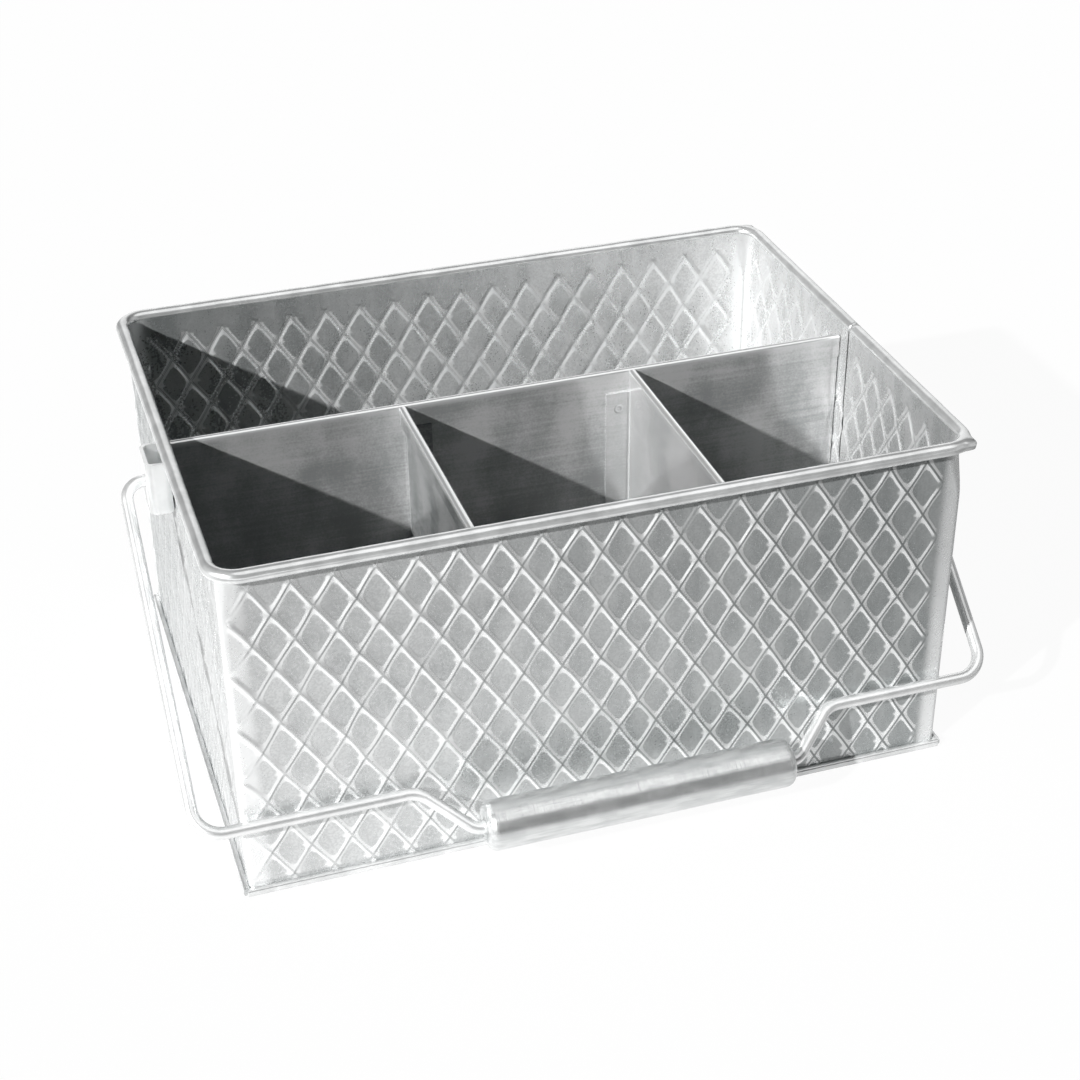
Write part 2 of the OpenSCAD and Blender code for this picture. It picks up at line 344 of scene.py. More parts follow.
class DiamondPanel:
    """The flat pattern of one side, as points (along, up, height) that are bent round the caddy later."""

    def __init__(self, side):
        spec = PANELS[side]
        self.side = side
        self.half_w = DIAMOND_W / 2
        self.half_h = DIAMOND_H / 2
        self.columns = spec["columns"]
        self.top = spec["top"]
        self.lean = spec["lean"]
        self.flank_highlight = spec["flank_highlight"]
        self.left = spec["shift"] - self.columns * self.half_w
        self.start = -side_half(side) - CORNER_RUN
        self.end = side_half(side)

    def node(self, i, j):
        """Lattice point i half-diamonds from the left and j half-diamonds down from the peaks."""
        along = self.left + i * self.half_w
        up = self.top - j * self.half_h + self.lean * along
        seed = Vector((NODE_PACE * i, NODE_PACE * j, NODE_SIDES * self.side))
        drift = Vector((noise.noise(seed), noise.noise(seed + NODE_UP_SEED)))
        return Vector((along, up)) + drift * NODE_WANDER

    def along_rib(self, a, b, t):
        """Place at share t of the way along the slightly bowed rib from lattice point a to b."""
        if a > b:
            a, b, t = b, a, 1 - t
        start = self.node(*a)
        stop = self.node(*b)
        seed = Vector((a[0] + b[0], a[1] + b[1], BOW_SIDES * self.side)) * BOW_PACE
        bow = RIB_BOW * noise.noise(seed)
        return start.lerp(stop, t) + (stop - start).orthogonal().normalized() * bow * math.sin(math.pi * t)

    def embossed(self, i, j):
        """Is the diamond with its centre at lattice point (i, j) one of the embossed ones?"""
        inset = 1 if j % 2 else 2
        return j >= 1 and inset <= i <= 2 * self.columns - inset

    def crossing(self, p, q):
        """Does an embossed diamond touch lattice point (p, q)? Then all that meet there share its height."""
        around = ((p + 1, q), (p - 1, q), (p, q + 1), (p, q - 1))
        return any(self.embossed(*cell) for cell in around)

    def rib_strength(self, a, b, falling):
        """How strongly a rib is pressed: falling ribs run through, and a few rising ones fade."""
        seed = Vector((a[0] + b[0], a[1] + b[1], PRESS_SIDES * self.side)) * PRESS_PACE
        wander = noise.noise(seed) * 0.5 + 0.5
        if falling:
            return FALLING_PRESS + FALLING_VARIES * wander
        return FAINT_PRESS + RISING_VARIES * ease((wander - FAINT_BELOW) / FAINT_RUN)

    def crest(self, a, b, t):
        """Height of a rib at share t of the way from lattice point a to b."""
        falling = (b[0] - a[0]) * (b[1] - a[1]) > 0
        from_node = min(t, 1 - t)
        near_node = 1 - ease(from_node / CROSSING_REACH)
        strength = self.rib_strength(min(a, b), max(a, b), falling)
        notch = 0.0
        if not falling:
            recovered = ease((from_node - NOTCH_FULL) / NOTCH_RUN)
            notch = NOTCH_DEPTH * ease(from_node / NOTCH_START) * (1 - recovered)
        return RIB_HEIGHT * (strength * (1 - notch) * (1 - near_node) + near_node * (CROSSING_HEIGHT - notch))

    def fade(self, along, up):
        """Ribs die out at the base hem, in the corners and under the handle's bracket."""
        value = ease((up - HEM_HEIGHT - FADE_CLEAR) / FADE_RUN)
        value *= ease((along + side_half(self.side) + CORNER_RUN / 2 - FADE_CLEAR) / FADE_IN_CORNER)
        value *= ease((self.end - along) / FADE_RUN)
        if self.side % 2 == 0:
            outside = max(abs(along) - BRACKET_HALF_W, abs(up - PIVOT.z) - BRACKET_HALF_H)
            value *= ease(outside / FADE_BY_BRACKET)
        return value

    def corner_highlight(self, along):
        """Share of the painted highlight that the sheet has where it is bent round a corner."""
        off = abs(abs(along) - side_half(self.side) - CORNER_RUN / 2)
        return 1 - ease((off - CORNER_HIGHLIGHT_HALF) / CORNER_HIGHLIGHT_SPREAD)

    def painted_sheen_at(self, level, point, along):
        """How a point is painted: above 0 a painted highlight, as on ribs' flanks, and below 0 a painted dark
        line of shade, as on their crests.
        """
        # Painted highlight on the flanks, painted shade on the crests, and a painted glint by the diamond's
        # right corner
        wear = level.shine * (self.flank_highlight * point.flank if level.shine > 0 else point.grime)
        if 0 <= level.shine < 0.5 < level.scale:
            wear += CROSSING_GLINT * point.blob
        # Painted highlight down the corner folds
        corner = self.corner_highlight(along)
        return wear * point.crest / RIB_HEIGHT * (1 - corner) + CORNER_HIGHLIGHT * corner

    def cells(self):
        """Points, faces and rubbing of all the diamonds that the panel needs, past its edges."""
        share = RIB_HALF * math.hypot(self.half_w, self.half_h) / (self.half_w * self.half_h)
        levels = rib_levels(share)
        first = math.floor((self.start - self.left) / self.half_w) - 1
        last = math.ceil((self.end - self.left) / self.half_w) + 1
        rows = math.ceil(self.top / self.half_h) + 2
        lift = math.ceil((RIM_Z - self.top) / self.half_h) + 2
        verts, faces, painted_sheen = [], [], []
        for j in range(-lift, rows):
            for i in range(first, last + 1):
                if (i + j) % 2 == 0:
                    self.add_cell(i, j, levels, verts, faces, painted_sheen)
        return verts, faces, painted_sheen

    def outline(self, i, j):
        """Points once round a diamond, along its four ribs, from its right corner over its top."""
        corners = ((i + 1, j), (i, j - 1), (i - 1, j), (i, j + 1))
        beyond = ((i + 1, j - 1), (i - 1, j - 1), (i - 1, j + 1), (i + 1, j + 1))
        points = []
        for k in range(4):
            a = corners[k]
            b = corners[(k + 1) % 4]
            shown = self.embossed(i, j) or self.embossed(*beyond[k])
            falling = k % 2 == 0
            on_right = k in (0, 3)
            for t in RIB_STEPS:
                place = self.along_rib(a, b, t)
                raised = shown or (t == 0.0 and self.crossing(*a))
                top = self.crest(a, b, t) * self.fade(*place) if raised else 0.0
                from_right = t if k == 0 else 1 - t
                point = RibPoint(
                    place=place,
                    top=top,
                    crest=top if shown else 0.0,
                    near_corner=1 - ease(min(t, 1 - t) / CELL_ROUND_REACH),
                    flank=1.0 if on_right else SHADED_FLANK,
                    grime=ease((place.x - self.start) / (self.end - self.start)) if falling else 1.0,
                    blob=1 - ease(from_right / BLOB_REACH) if on_right else 0.0,
                )
                points.append(point)
        return points

    def add_cell(self, i, j, levels, verts, faces, painted_sheen):
        """Adds one diamond, as rings from its ribs' crest in to its slightly dished and tilted middle."""
        centre = self.node(i, j)
        own = self.embossed(i, j)
        seeds = [Vector((i * TILT_PACE[0], j * TILT_PACE[1], TILT_SIDES * self.side + k)) for k in range(2)]
        lean = Vector([noise.noise(seed) for seed in seeds])
        outline = self.outline(i, j)
        first = len(verts)
        for level in levels:
            for point in outline:
                rounded = 1 - CELL_ROUND * (1 - level.rib) * point.near_corner
                offset = (point.place - centre) * level.scale * rounded
                place = centre + offset
                height = point.top if level.scale == 1.0 else level.rib * point.crest
                if own and level.dish:
                    tilt = lean.dot(offset) / self.half_w * (1 - level.scale)
                    height -= (level.dish * CELL_DISH + CELL_TILT * tilt) * self.fade(*place)
                verts.append((*place, height))
                painted_sheen.append(self.painted_sheen_at(level, point, place.x))
        verts.append((*centre, -CELL_DISH * self.fade(*centre) if own else 0.0))
        # The middle of a diamond takes only the painted highlight of the corners
        painted_sheen.append(CORNER_HIGHLIGHT * self.corner_highlight(centre.x))
        ring = len(outline)
        faces += [[first + v for v in face] for face in ring_faces(len(levels), ring)]
        inner = first + (len(levels) - 1) * ring
        faces += [(inner + k, inner + (k + 1) % ring, inner + ring) for k in range(ring)]

    def flat_mesh(self):
        """The clipped flat panel, cut finely where the corner bends it, as a bmesh."""
        mesh = bpy.data.meshes.new("panel_pattern")
        verts, faces, painted_sheen = self.cells()
        mesh.from_pydata(verts, [], faces)
        mesh.attributes.new("painted_sheen", "FLOAT", "POINT").data.foreach_set("value", painted_sheen)
        bm = bmesh.new()
        bm.from_mesh(mesh)
        bpy.data.meshes.remove(mesh)
        bmesh.ops.remove_doubles(bm, verts=bm.verts, dist=MM / 1000)
        cut(bm, (self.start, 0), (-1, 0), clear=True)
        cut(bm, (self.end, 0), (1, 0), clear=True)
        cut(bm, (0, RIM_Z), (0, 1), clear=True)
        cut(bm, (0, SHEET), (0, -1), clear=True)
        for k in range(-CORNER_CUTS, CORNER_CUTS + 1):
            share = 0.5 + 0.5 * math.copysign(abs(k / CORNER_CUTS) ** CORNER_CROWDING, k)
            cut(bm, (self.start + CORNER_RUN * share, 0), (1, 0))
        if self.side == 0:
            self.cut_seam(bm)
        bm.normal_update()
        return bm

    def cut_seam(self, bm):
        """Opens the butt seam where the strip's ends meet."""
        for way in (-1, 1):
            cut(bm, (SEAM_Y + way * SEAM_GAP / 2, 0), (way, 0))
        inside = [f for f in bm.faces if abs(f.calc_center_median().x - SEAM_Y) < SEAM_GAP / 2]
        bmesh.ops.delete(bm, geom=inside, context="FACES")


def embossed_walls():
    """Both skins of the four embossed sides as one mesh, with the flat pattern's normals carried round."""
    verts, normals, faces, painted_sheen, inside = [], [], [], [], []
    for side in range(4):
        flat = DiamondPanel(side).flat_mesh()
        flat.verts.index_update()
        layer = flat.verts.layers.float["painted_sheen"]
        for skin, offset in ((1, 0.0), (-1, -SHEET)):
            first = len(verts)
            for v in flat.verts:
                along, up, height = v.co
                plan, out = wall_frame(side, along, offset + height, corner_radius(up))
                across = Vector((-out.y, out.x, 0))
                normal = across * v.normal.x + Vector((0, 0, v.normal.y)) + out.to_3d() * v.normal.z
                verts.append((plan.x, plan.y, up))
                normals.append((normal * skin).normalized())
                painted_sheen.append(v[layer])
            for f in flat.faces:
                ids = [first + v.index for v in f.verts]
                faces.append(ids if skin == 1 else ids[::-1])
                inside.append(0 if skin == 1 else 1)
        flat.free()
    mesh = smooth_mesh("embossed_walls", verts, faces)
    mesh.normals_split_custom_set_from_vertices(normals)
    mesh.attributes.new("painted_sheen", "FLOAT", "POINT").data.foreach_set("value", painted_sheen)
    mesh.polygons.foreach_set("material_index", inside)
    return mesh


def rim_stations():
    """Stations (side, along) once round the rim, from one end of the strip to the other."""
    runs = [(0, SEAM_Y + SEAM_GAP / 2, side_half(0) + CORNER_RUN)]
    runs += [(side, -side_half(side), side_half(side) + CORNER_RUN) for side in (1, 2, 3)]
    runs += [(0, -side_half(0), SEAM_Y - SEAM_GAP / 2)]
    stations = []
    for side, start, stop in runs:
        count = math.ceil((stop - start) / BEAD_STEP)
        stations += [(side, start + (stop - start) * k / count) for k in range(count)]
    return stations + [(0, SEAM_Y - SEAM_GAP / 2)]


def ear(side, along):
    """Share of the pinched ear at the two right-hand corners of the rim: 1 at its tip."""
    if side not in (0, 3):
        return 0.0
    off = abs(along - side_half(side) - CORNER_RUN / 2)
    return (1 - ease(off / EAR_SPREAD)) ** 2


def rolled_rim():
    """The bead rolled round the rim wire, open at the seam and pinched into ears at the right corners."""
    angles = [-2 * math.pi * k / BEAD_RING for k in range(BEAD_RING)]
    stations = rim_stations()
    verts = []

    def add_ring(side, along, radius, reach, wander=0.0):
        for angle in angles:
            seed = Vector((along * BEAD_PACE, math.cos(angle), math.sin(angle) + BEAD_SIDES * side))
            size = radius * (1 + wander * noise.noise(seed))
            out = size * math.cos(angle) + reach * max(math.cos(angle), 0.0)
            plan, _ = wall_frame(side, along, BEAD_OUT + out)
            verts.append((plan.x, plan.y, RIM_Z + size * math.sin(angle)))

    add_ring(*stations[0], BEAD - SHEET, 0.0)
    for side, along in stations:
        add_ring(side, along, BEAD, EAR_REACH * ear(side, along), BEAD_WANDER)
    add_ring(*stations[-1], BEAD - SHEET, 0.0)
    return smooth_mesh("rolled_rim", verts, ring_faces(len(stations) + 2, BEAD_RING))


# Base

def round_corner(centre, radius, start, stop, count=5):
    """Points of an arc between two angles, in degrees."""
    angles = [math.radians(start + (stop - start) * k / count) for k in range(count + 1)]
    return [(centre[0] + radius * math.cos(a), centre[1] + radius * math.sin(a)) for a in angles]


def folded_hem():
    """The base's four edges, folded up over the wall's foot, with mitred slits and clipped corners."""
    centre_out = HEM_OUT - HEM_ROUND
    outline = [(HEM_GAP, 0.0)]
    outline += round_corner((centre_out, HEM_ROUND), HEM_ROUND, -90, 0)
    outline += round_corner((centre_out, HEM_HEIGHT - HEM_ROUND), HEM_ROUND, 0, 90)
    outline += [(HEM_GAP + HEM_LIP, HEM_HEIGHT), (HEM_GAP, HEM_HEIGHT - HEM_LIP)]
    count = len(outline)
    verts, faces = [], []
    for side in range(4):
        face = HALF_W if side % 2 == 0 else HALF_D
        end = HALF_D if side % 2 == 0 else HALF_W
        spin = Matrix.Rotation(side * math.pi / 2, 2)
        first = len(verts)
        for way in (-1, 1):
            for out, up in outline:
                along = end + min(out - HEM_SLIT, HEM_OUT - HEM_CLIP)
                plan = spin @ Vector((face + out, way * along))
                verts.append((plan.x, plan.y, up))
        faces += [[first + v for v in quad[::-1]] for quad in ring_faces(2, count)]
        faces.append([first + k for k in range(count)])
        faces.append([first + count + k for k in reversed(range(count))])
    mesh = smooth_mesh("folded_hem", verts, faces)
    mesh.set_sharp_from_angle(angle=HEM_SHARP)
    return mesh


def base_floor():
    """The bottom plate: flat below, with the slight waves of a pressed sheet on top."""
    width = FLOOR_COLUMNS + 1
    verts, faces = [], []
    for level in range(2):
        for j in range(FLOOR_ROWS + 1):
            for i in range(FLOOR_COLUMNS + 1):
                x = HALF_W * (2 * i / FLOOR_COLUMNS - 1)
                y = HALF_D * (2 * j / FLOOR_ROWS - 1)
                wave = FLOOR_WAVE * noise.noise(Vector((x, y, 0)) * FLOOR_WAVE_PACE) if level else 0.0
                verts.append((x, y, level * SHEET + wave))
        for j in range(FLOOR_ROWS):
            for i in range(FLOOR_COLUMNS):
                a = level * width * (FLOOR_ROWS + 1) + j * width + i
                quad = (a, a + 1, a + 1 + width, a + width)
                faces.append(quad if level else quad[::-1])
    return smooth_mesh("base_floor", verts, faces)


# Weld marks

def weld_mark(centre, normal, verts, faces):
    """A shallow round dimple with a raised lip, pressed by the spot welder."""
    up = Vector((0, 0, 1))
    across = up.cross(normal)
    spins = [2 * math.pi * k / WELD_RING for k in range(WELD_RING)]
    first = len(verts)
    for radius, height in WELD_STEPS:
        for spin in spins:
            off = (across * math.cos(spin) + up * math.sin(spin)) * radius * MM
            verts.append(centre + off + normal * height * MM)
    faces += [[first + v for v in quad] for quad in ring_faces(len(WELD_STEPS), WELD_RING)]
    faces.append([first + (len(WELD_STEPS) - 1) * WELD_RING + k for k in range(WELD_RING)])


def weld_marks():
    """Marks down the tabs of the cross dividers and of the long divider."""
    verts, faces = [], []
    for name, way in (("left_cross_divider", 1), ("right_cross_divider", -1)):
        low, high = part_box(name)
        tab_x = (high.x if way > 0 else low.x) - way * TAB_W / 2
        for z in WELD_HEIGHTS:
            weld_mark(Vector((tab_x, high.y - SHEET, z)), Vector((0, -1, 0)), verts, faces)
            weld_mark(Vector((tab_x, low.y + SHEET, z)), Vector((0, 1, 0)), verts, faces)
    low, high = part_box("long_divider")
    for way in (-1, 1):
        x = (high.x if way > 0 else low.x) - way * SHEET
        for z in WELD_HEIGHTS:
            weld_mark(Vector((x, high.y - TAB_W / 2, z)), Vector((-way, 0, 0)), verts, faces)
    return smooth_mesh("weld_marks", verts, faces)


# Handle

def arc_path(points, radii):
    """Points of a smooth path through flat corners, each rounded by its own radius."""
    path = [points[0]]
    for before, corner, after, radius in zip(points, points[1:], points[2:], radii):
        back = (before - corner).normalized()
        ahead = (after - corner).normalized()
        half = back.angle(ahead) / 2
        trim = radius / math.tan(half)
        centre = corner + (back + ahead).normalized() * radius / math.sin(half)
        first = corner + back * trim - centre
        last = corner + ahead * trim - centre
        sweep = math.pi - 2 * half
        count = max(BEND_LEAST, round(radius * sweep / BEND_STEP))
        for k in range(count + 1):
            t = k / count
            spoke = first * math.sin((1 - t) * sweep) + last * math.sin(t * sweep)
            path.append(centre + spoke / math.sin(sweep))
    return path + [points[-1]]


def wire_along(name, path):
    """A round wire along a flat path, with flat ends. It wanders slightly, as a hand-bent one does."""
    stations = [path[0]]
    for a, b in zip(path, path[1:]):
        count = max(1, math.ceil((b - a).length / WIRE_SPACING))
        stations += [a.lerp(b, k / count) for k in range(1, count + 1)]
    plane = (path[2] - path[0]).cross(path[len(path) // 2] - path[0]).normalized()
    verts = []
    for n, point in enumerate(stations):
        ahead = stations[min(n + 1, len(stations) - 1)] - stations[max(n - 1, 0)]
        across = ahead.normalized().cross(plane)
        seeds = [Vector((n * WIRE_PACE, WIRE_AXES * k, WIRE_SEED)) for k in range(3)]
        drift = Vector([noise.noise(seed) for seed in seeds]) * WIRE_WANDER
        for k in range(WIRE_RING):
            angle = 2 * math.pi * k / WIRE_RING
            verts.append(point + drift + (across * math.cos(angle) + plane * math.sin(angle)) * WIRE)
    faces = ring_faces(len(stations), WIRE_RING)
    faces.append(tuple(range(WIRE_RING)))
    faces.append(tuple(range(len(verts) - 1, len(verts) - 1 - WIRE_RING, -1)))
    return smooth_mesh(name, verts, faces)


def bail():
    """The handle wire, in the plane of its pivots and grip."""
    down = GRIP_CENTRE - Vector((GRIP_CENTRE.x, PIVOT.y, PIVOT.z))
    way = down.normalized()
    grip_line = down.length
    arm = grip_line - BAIL_DROP
    arm_x = HALF_W + BAIL_ARM_OUT
    pin_x = HALF_W + BAIL_PIN_OUT
    straight = GRIP_HALF + BAIL_PLAY + TIGHT_BEND * math.tan(math.pi / 8)
    left = GRIP_CENTRE.x - straight
    right = GRIP_CENTRE.x + straight
    flat = (
        (-pin_x, 0),
        (-arm_x, 0),
        (-arm_x, arm),
        (left - BAIL_DROP, arm),
        (left, grip_line),
        (right, grip_line),
        (right + BAIL_DROP, arm),
        (arm_x, arm),
        (arm_x, 0),
        (pin_x, 0),
    )
    radii = (TIGHT_BEND, WIDE_BEND, WIDE_BEND, TIGHT_BEND) * 2
    points = [PIVOT + Vector((x, 0, 0)) + way * d for x, d in flat]
    return wire_along("bail", arc_path(points, radii))


def lathe(name, profile, centre):
    """A solid turned about the X axis through a centre, from (along, radius) points of its closed outline."""
    verts = []
    for along, radius in profile:
        for k in range(GRIP_RING):
            angle = 2 * math.pi * k / GRIP_RING
            verts.append(centre + Vector((along, radius * math.cos(angle), radius * math.sin(angle))))
    return smooth_mesh(name, verts, ring_faces(len(profile), GRIP_RING, loop=True))


def grip():
    """The grip: a tube with both ends turned in round the wire."""
    right = []
    for k in range(GRIP_END_STEPS + 1):
        angle = math.pi / 2 * k / GRIP_END_STEPS
        along = GRIP_HALF - GRIP_END + GRIP_END * math.sin(angle)
        right.append((along, GRIP - GRIP_END + GRIP_END * math.cos(angle)))
    right += [
        (GRIP_HALF, GRIP_BORE + GRIP_CHAMFER),
        (GRIP_HALF - GRIP_CHAMFER, GRIP_BORE),
        (GRIP_HALF - GRIP_WALL, GRIP_BORE),
        (GRIP_HALF - GRIP_WALL, GRIP - GRIP_WALL),
    ]
    left = [(-along, radius) for along, radius in reversed(right)]
    start = -GRIP_HALF + GRIP_END
    straight = 2 * GRIP_HALF - 2 * GRIP_END
    body = [(start + straight * k / GRIP_CUTS, GRIP) for k in range(1, GRIP_CUTS)]
    return lathe("grip", left + body + right, GRIP_CENTRE)


# Finishes

class Value:
    """A node's output that Python operators can use: each operator adds a Math node to the same tree."""

    def __init__(self, finish, socket):
        self.finish = finish
        self.socket = socket

    def math(self, operation, *others):
        """A Math node of this value and others."""
        return self.finish.node("ShaderNodeMath", {"operation": operation}, (self, *others))[0]

    def __add__(self, other):
        return self.math("ADD", other)

    def __sub__(self, other):
        return self.math("SUBTRACT", other)

    def __rsub__(self, other):
        return self * -1.0 + other

    def __mul__(self, other):
        return self.math("MULTIPLY", other)

    __radd__ = __add__
    __rmul__ = __mul__

    def between(self, low, high):
        """0 at low, 1 at high, eased in between."""
        settings = {"interpolation_type": "SMOOTHSTEP"}
        return self.finish.node("ShaderNodeMapRange", settings, {0: self, 1: low, 2: high})[0]


class Finish:
    """The node tree of one material or of the world."""

    def __init__(self, owner):
        owner.use_nodes = True
        self.tree = owner.node_tree
        self.tree.nodes.clear()

    def node(self, kind, settings=None, inputs=()):
        """Makes a node: its settings first, then its sockets' values or links. Returns its outputs."""
        made = self.tree.nodes.new(kind)
        for key, value in (settings or {}).items():
            setattr(made, key, value)
        for key, value in inputs.items() if isinstance(inputs, dict) else enumerate(inputs):
            if isinstance(value, Value):
                self.tree.links.new(value.socket, made.inputs[key])
            else:
                made.inputs[key].default_value = value
        return [Value(self, out) for out in made.outputs]

    def place(self):
        """Position on the piece, in metres."""
        return self.node("ShaderNodeTexCoord")[3]

    def parts(self, vector):
        """The x, y and z of a vector."""
        return self.node("ShaderNodeSeparateXYZ", None, (vector,))

    def stretched(self, vector, scale):
        """A vector times another, part by part."""
        return self.node("ShaderNodeVectorMath", {"operation": "MULTIPLY"}, (vector, scale))[0]

    def clouds(self, vector, scale, detail=3.0, rough=0.5):
        """Soft noise about 0.5."""
        inputs = {"Vector": vector, "Scale": scale, "Detail": detail, "Roughness": rough}
        return self.node("ShaderNodeTexNoise", None, inputs)[0]

    def blend(self, share, low, high):
        """A colour between two, each a plain colour or a Value."""
        ends = [c if isinstance(c, Value) else (*c, 1.0) for c in (low, high)]
        return self.node("ShaderNodeMix", {"data_type": "RGBA"}, {0: share, 6: ends[0], 7: ends[1]})[2]

    def bump(self, height, distance, strength, under=None):
        """The surface's normal, bent by a height and laid over another bump if there is one."""
        inputs = {"Height": height, "Distance": distance, "Strength": strength}
        if under:
            inputs["Normal"] = under
        return self.node("ShaderNodeBump", None, inputs)[0]

    def surface(self, **sockets):
        """Ends a material in a Principled shader, with its sockets' names written with underscores."""
        named = {key.replace("_", " "): value for key, value in sockets.items()}
        shader = self.node("ShaderNodeBsdfPrincipled", None, named)[0]
        self.node("ShaderNodeOutputMaterial", None, {"Surface": shader})

    def seen_by(self):
        """Whether the camera sees the surface, and whether a mirroring surface does."""
        path = self.node("ShaderNodeLightPath")
        return path[0], path[3]


def finish_named(name):
    """A new material and the tree to fill."""
    material = bpy.data.materials.new(name)
    return material, Finish(material)


def rolled_sheet(name, dull, bright, crest, metal, drift):
    """Bright rolled sheet with soft waves from pressing, fine grain, faint handling marks, and painted
    highlights and shade on its ribs.

    It goes from dull to bright along x plus a share of y, as painted light and shade. The drift is that share
    and the two ends.
    """
    material, f = finish_named(name)
    at = f.place()
    waves = f.clouds(at, 38.0, 2.0)
    grain = f.clouds(at, 1400.0, 2.0)
    smears = f.clouds(f.stretched(at, (1.0, 1.0, 0.4)), 90.0, 4.0, 0.6)
    painted_sheen = f.node("ShaderNodeAttribute", {"attribute_name": "painted_sheen"})[2]
    x, y, _ = f.parts(at)
    share_of_y, shaded_end, lit_end = drift
    # Painted light and shade: the colour runs from dull where the sheet stands in shade to bright where light
    # falls
    run = (x + y * share_of_y).between(shaded_end, lit_end)
    colour = f.blend(smears.between(0.34, 0.66) * 0.25 + run * 0.75, dull, bright)
    colour = f.blend(grain.between(0.35, 0.65) * 0.22, colour, (0.2, 0.21, 0.21))
    # Crests take the crest colour, a painted dark line outside and a painted highlight inside; flanks and
    # corners take painted highlights
    colour = f.blend(painted_sheen.between(-0.2, -0.9) * 0.6, colour, crest)
    colour = f.blend(painted_sheen.between(0.05, 0.75) * (0.9 + 0.1 * run), colour, (0.96, 0.97, 0.97))
    normal = f.bump(waves, 0.0018, 0.5)
    f.surface(Base_Color=colour, Metallic=metal, Roughness=0.2 + 0.1 * smears + 0.06 * grain, Normal=normal)
    return material


def brushed_sheet(name, dull, bright):
    """Plain bright sheet with a fine grain and cloudy wear, and a painted highlight on its top fold and tabs'
    bends.
    """
    material, f = finish_named(name)
    at = f.place()
    lines = f.clouds(f.stretched(at, (22.0, 22.0, 700.0)), 1.0, 4.0, 0.65)
    grain = f.clouds(at, 1300.0, 3.0, 0.7)
    wear = f.clouds(f.stretched(at, (1.0, 1.0, 0.6)), 38.0, 4.0, 0.55)
    waves = f.clouds(at, 24.0, 1.0)
    tone = wear * 0.6 + lines * 0.2 + grain * 0.2
    _, y, z = f.parts(at)
    before_bend = y.between(TAB_Y - TAB_BEND_FROM[0], TAB_Y - TAB_BEND_FROM[1])
    after_bend = y.between(TAB_Y - TAB_BEND_TO[0], TAB_Y - TAB_BEND_TO[1])
    # Painted highlight along the top fold and round the tabs' bends
    fold = z.between(FOLD_Z - FOLD_SOFT, FOLD_Z) + before_bend * after_bend * 0.9
    colour = f.blend(tone.between(0.4, 0.6), dull, bright)
    colour = f.blend(fold.between(0.0, 1.0), colour, (0.94, 0.95, 0.95))
    normal = f.bump(grain, 0.00003, 0.4, f.bump(waves, 0.0024, 0.5))
    f.surface(Base_Color=colour, Metallic=0.72, Roughness=0.1 + 0.12 * tone, Normal=normal)
    return material


def shaded_floor():
    """The bottom inside, painted dark as shade, with scuffs from flatware."""
    material, f = finish_named("shaded_floor")
    scuffs = f.clouds(f.stretched(f.place(), (0.35, 1.0, 1.0)), 420.0, 5.0, 0.75)
    # Dark colour: painted shade inside the compartments, varied by the scuffs
    colour = f.blend(scuffs.between(0.3, 0.7), (0.24, 0.25, 0.25), (0.33, 0.34, 0.34))
    f.surface(Base_Color=colour, Metallic=0.6, Roughness=0.45 + 0.2 * scuffs)
    return material


def bright_wire(name, low, high, rough):
    """Smooth bright metal with a few soft scuffs: wire, brackets, rolled rim and base hem."""
    material, f = finish_named(name)
    scuffs = f.clouds(f.place(), 120.0, 4.0, 0.6)
    colour = f.blend(scuffs.between(0.35, 0.65), low, high)
    f.surface(Base_Color=colour, Metallic=0.62, Roughness=rough + 0.12 * scuffs)
    return material


def drawn_tube():
    """Grip tube with a fine satin grain across it and faint long drawing lines."""
    material, f = finish_named("drawn_tube")
    at = f.place()
    rings = f.clouds(f.stretched(at, (2600.0, 90.0, 90.0)), 1.0, 2.0, 0.6)
    lines = f.clouds(f.stretched(at, (26.0, 1500.0, 1500.0)), 1.0, 3.0, 0.65)
    smears = f.clouds(f.stretched(at, (1.0, 3.0, 3.0)), 110.0, 3.0)
    tone = lines * 0.4 + smears * 0.6
    colour = f.blend(tone.between(0.36, 0.64), (0.66, 0.675, 0.675), (0.86, 0.87, 0.87))
    normal = f.bump(rings, 0.00016, 0.8)
    f.surface(Base_Color=colour, Metallic=0.75, Roughness=0.18 + 0.12 * tone, Normal=normal)
    return material


def finished(mesh, *materials):
    """Gives a new mesh its finishes."""
    for material in materials:
        mesh.materials.append(material)
    return mesh


def dress(node, material, edge=0.0):
    """Gives a CAD node its finish and, where it has cut sheet edges, a fine round on them."""
    piece = frame["nodes"][node]
    piece.data.materials.clear()
    piece.data.materials.append(material)
    if edge:
        bevel = piece.modifiers.new("edge", "BEVEL")
        bevel.width = edge
        bevel.segments = 2
        bevel.limit_method = "ANGLE"
        bevel.angle_limit = EDGE_ANGLE


# Studio

